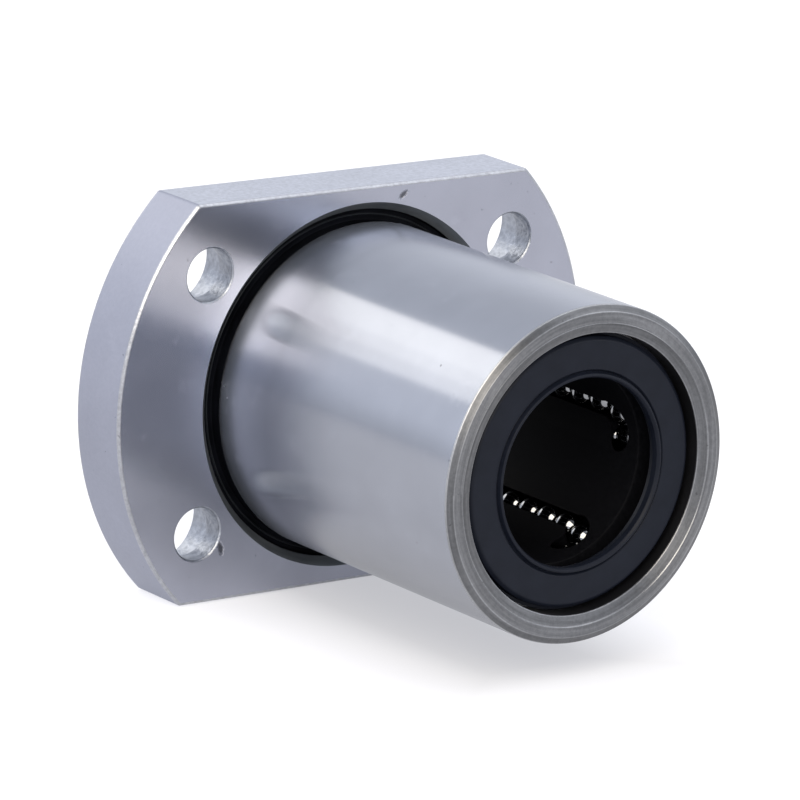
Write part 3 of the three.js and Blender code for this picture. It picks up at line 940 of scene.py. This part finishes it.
def row_centres(place):
    """The ball centres of a row at place, spaced evenly about the middle of the bushing."""
    heights = [(index - (BALLS_PER_ROW - 1) / 2) * BALL_PITCH for index in range(BALLS_PER_ROW)]
    return [place + Vector((0, height, 0)) for height in heights]


def turn_centres(circuit, side):
    """The ball centres of a circuit's turn, at the flange for side 1 and the tube end for -1."""
    turns = [math.pi * (index + 0.5) / BALLS_PER_TURN for index in range(BALLS_PER_TURN)]
    along = Vector((0, side, 0))
    reach = circuit.turn_radius
    centres = []
    for turn in turns:
        sideways = circuit.across * reach * math.cos(turn)
        outwards = along * (ROW_HALF_LENGTH + reach * math.sin(turn))
        centres.append(circuit.middle - sideways + outwards)
    return centres


def place_piece(piece, body, node):
    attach(piece, body)
    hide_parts(node)


place_piece(make_sleeve(), "bushing", "flanged_sleeve")
place_piece(make_cage(), "bushing", "ball_retainer")
for end, side in (("front", -1), ("rear", 1)):
    place_piece(make_seal(f"{end}_lip_seal", side), "bushing", f"{end}_seal")
    place_piece(make_washer(f"{end}_washer", side), "bushing", f"{end}_seal_washer")
    place_piece(make_end_ring(f"{end}_ring", side), "bushing", f"{end}_end_ring")
for circuit in circuits:
    number = circuit.number
    groups = {
        "load_row": ("load_balls", row_centres(circuit.load)),
        "return_row": ("return_balls", row_centres(circuit.back)),
        "front_turn": ("front_turn_balls", turn_centres(circuit, -1)),
        "rear_turn": ("rear_turn_balls", turn_centres(circuit, 1)),
    }
    for body, (node, centres) in groups.items():
        balls = make_balls(f"{body}_balls_fine_{number}", centres)
        place_piece(balls, f"{body}_{number}", f"{node}_{number}")


# ---- camera, floor and light ----

CAMERA_AIM = Vector((-2.83, 2.68, 1.42)) * MM
CAMERA_DISTANCE = 542.6 * MM
CAMERA_AZIMUTH = math.radians(-37.99)
CAMERA_ELEVATION = math.radians(14.69)
CAMERA_ROLL = math.radians(3.33)
CAMERA_LENS = 298.0
WORLD_LEVEL = 1.2
FLOOR_HALF_SIZE = 6.0
FLOOR_GAP = 0.1 * MM
# How strongly the floor glows at the two ends of its span along X, and how much glow is left under the
# bushing, where dimming it paints a shadow.
FLOOR_GLOW = (0.77, 0.66)
FLOOR_GLOW_SPAN = 120
FLOOR_GLOW_IN_PAINTED_SHADOW = 0.63
# The strip lamps run beside the tube, STRIP_REACH from its axis. STRIP_SPOT is how far along Y, either way,
# lies the spot that the tube and the flange's face mirror to the camera. Each strip is (start angle, stop
# angle, radiance).
STRIP_REACH = 0.8
STRIP_SPOT = 0.945
STRIP_TILT = math.radians(15)
STRIP_NEAR = 0.75
STRIP_FAR = 1.3
REAR_STRIPS = ((100, 119, 1.75), (119, 129, 1.5), (129, 140, 1.1))
REAR_COLOUR = (1.0, 0.94, 0.82)
FRONT_STRIPS = ((103, 134, 5.5), (134, 160, 4.3))
FRONT_COLOUR = (1.0, 0.9, 0.75)
CEILING_CENTRE = Vector((0.45, -0.15, 0.8))
CEILING_SIZE = (0.8, 0.7)
CEILING_RADIANCE = 1.25
FILL_DIRECTION = Vector((0.66, -0.6, 0.36)).normalized()
FILL_LEAN = Vector((0, 1, 0.75))
FILL_DISTANCE = 0.9
FILL_SIZE = (0.16, 0.8)
FILL_RADIANCE = 2.7


def look_rotation(forward, roll=0.0):
    """A rotation for a camera or lamp that looks along forward with its top towards +Z."""
    right = forward.cross(Vector((0, 0, 1))).normalized()
    up = right.cross(forward)
    basis = Matrix((right, up, -forward)).transposed()
    return (basis @ Matrix.Rotation(roll, 3, "Z")).to_euler()


def make_camera():
    """The camera that the photograph was taken with, as fitted to the object's outlines."""
    data = bpy.data.cameras.new("camera")
    data.lens = CAMERA_LENS
    data.clip_end = 20
    camera = bpy.data.objects.new("camera", data)
    flat = math.cos(CAMERA_ELEVATION)
    forward = Vector((
        -flat * math.sin(CAMERA_AZIMUTH), flat * math.cos(CAMERA_AZIMUTH), -math.sin(CAMERA_ELEVATION)))
    camera.location = CAMERA_AIM - forward * CAMERA_DISTANCE
    camera.rotation_euler = look_rotation(forward, CAMERA_ROLL)
    bpy.context.scene.collection.objects.link(camera)
    bpy.context.scene.camera = camera


def make_floor():
    """A pale floor, glowing enough to look white, with a faint cast and painted shadow under the bushing."""
    size = FLOOR_HALF_SIZE
    data = bpy.data.meshes.new("floor")
    corners = [(-size, -size, 0), (size, -size, 0), (size, size, 0), (-size, size, 0)]
    data.from_pydata(corners, [], [(0, 1, 2, 3)])
    floor = bpy.data.objects.new("floor", data)
    floor.location.z = cad_bounds[0][2] - FLOOR_GAP
    nodes = Nodes("pale_floor")
    nodes.set(Base_Color=(0.28, 0.28, 0.28, 1), Roughness=0.9, Specular_IOR_Level=0.0)
    nodes.set(Emission_Color=(0.97, 0.975, 1.03, 1))
    x, y = nodes.place()[:2]
    # Under the bushing the glow is dimmed: a painted shadow.
    aside = nodes.span(nodes.math("ABSOLUTE", x), 5, 17)
    beyond = nodes.span(nodes.math("ABSOLUTE", y), 14, 24)
    painted_shadow_factor = nodes.span(nodes.math("MAXIMUM", aside, beyond), 0, 1, FLOOR_GLOW_IN_PAINTED_SHADOW, 1.0)
    glow = nodes.math("MULTIPLY", nodes.span(x, -FLOOR_GLOW_SPAN, FLOOR_GLOW_SPAN, *FLOOR_GLOW), painted_shadow_factor)
    nodes.join(glow, nodes.shader.inputs["Emission Strength"])
    data.materials.append(nodes.material)
    bpy.context.scene.collection.objects.link(floor)


def make_world():
    """An even pale room: brightest a little above the horizon, and dim high up in front on the left."""
    world = bpy.data.worlds.new("studio")
    world.use_nodes = True
    tree = world.node_tree
    background = tree.nodes["Background"]
    coordinates = tree.nodes.new("ShaderNodeTexCoord")
    split = tree.nodes.new("ShaderNodeSeparateXYZ")
    tree.links.new(coordinates.outputs["Generated"], split.inputs[0])

    def span(axis, low, high, to_low, to_high):
        node = tree.nodes.new("ShaderNodeMapRange")
        node.interpolation_type = "SMOOTHSTEP"
        for value, key in zip((low, high, to_low, to_high), ("From Min", "From Max", "To Min", "To Max")):
            node.inputs[key].default_value = value
        tree.links.new(split.outputs[axis], node.inputs["Value"])
        return node.outputs[0]

    def combine(operation, *values):
        result = values[0]
        for value in values[1:]:
            node = tree.nodes.new("ShaderNodeMath")
            node.operation = operation
            tree.links.new(result, node.inputs[0])
            tree.links.new(value, node.inputs[1])
            result = node.outputs[0]
        return result

    rise = span("Z", -0.02, 0.22, WORLD_LEVEL * 0.82, WORLD_LEVEL * 1.18)
    fall = span("Z", 0.3, 0.65, 1.0, 0.8)
    side = span("X", -0.6, 0.6, 1.08, 0.9)
    dim_front = span("Y", -0.7, -0.2, 1.0, 0.0)
    dim_top = span("Z", 0.15, 0.45, 0.0, 1.0)
    dim_left = span("X", 0.1, 0.5, 1.0, 0.0)
    dimming = combine("MULTIPLY", dim_front, dim_top, dim_left)
    keep = tree.nodes.new("ShaderNodeMapRange")
    keep.inputs["To Min"].default_value = 1.0
    keep.inputs["To Max"].default_value = 0.25
    tree.links.new(dimming, keep.inputs["Value"])
    background.inputs["Color"].default_value = (0.97, 1.0, 1.08, 1)
    tree.links.new(combine("MULTIPLY", rise, fall, side, keep.outputs[0]), background.inputs["Strength"])
    bpy.context.scene.world = world


def make_lamp(name, outwards, along, centre, size, radiance, colour=(1.0, 0.99, 0.97)):
    """A soft lamp that faces against outwards, with its length lying along, and as bright as radiance."""
    data = bpy.data.lights.new(name, "AREA")
    data.shape = "RECTANGLE"
    data.size, data.size_y = size
    data.energy = radiance * math.pi * size[0] * size[1]
    data.color = colour
    lamp = bpy.data.objects.new(name, data)
    basis = Matrix((along.cross(outwards), along, outwards)).transposed().to_4x4()
    lamp.matrix_world = Matrix.Translation(centre) @ basis
    bpy.context.scene.collection.objects.link(lamp)


def make_strip(name, start, stop, side, radiance, colour):
    """A long lamp beside the tube, beyond the flange for side 1 and on the camera's side for -1.

    start and stop are its edges' angles round Y at the spot that the tube mirrors to the camera. From there
    it turns away from the tube by STRIP_TILT, which keeps its edge sharp in metal that was ground round.
    """
    turn = math.radians((start + stop) / 2)
    width = 2 * STRIP_REACH * math.tan(math.radians(stop - start) / 2)
    along = Vector((side * math.sin(STRIP_TILT), math.cos(STRIP_TILT), 0))
    radial = Vector((math.cos(turn), 0, math.sin(turn)))
    outwards = (radial - along * radial.dot(along)).normalized()
    near, far = (-STRIP_NEAR, STRIP_FAR) if side > 0 else (-STRIP_FAR, STRIP_NEAR)
    centre = radial * STRIP_REACH + Vector((0, side * STRIP_SPOT, 0)) + along * (near + far) / 2
    make_lamp(name, outwards, along, centre, (width, far - near), radiance, colour)


make_camera()
make_floor()
make_world()
for place, side, strips, colour in (
        ("rear", 1, REAR_STRIPS, REAR_COLOUR),
        ("front", -1, FRONT_STRIPS, FRONT_COLOUR)):
    for number, (start, stop, radiance) in enumerate(strips):
        make_strip(f"{place}_strip_{number + 1}", start, stop, side, radiance, colour)
make_lamp(
    "ceiling_softbox", Vector((0, 0, 1)), Vector((0, 1, 0)), CEILING_CENTRE, CEILING_SIZE, CEILING_RADIANCE)
fill_along = FILL_DIRECTION.cross(FILL_LEAN).normalized()
make_lamp(
    "front_fill", FILL_DIRECTION, fill_along, FILL_DIRECTION * FILL_DISTANCE, FILL_SIZE, FILL_RADIANCE)
bpy.context.scene.view_settings.view_transform = "Standard"
bpy.context.scene.view_settings.look = "None"
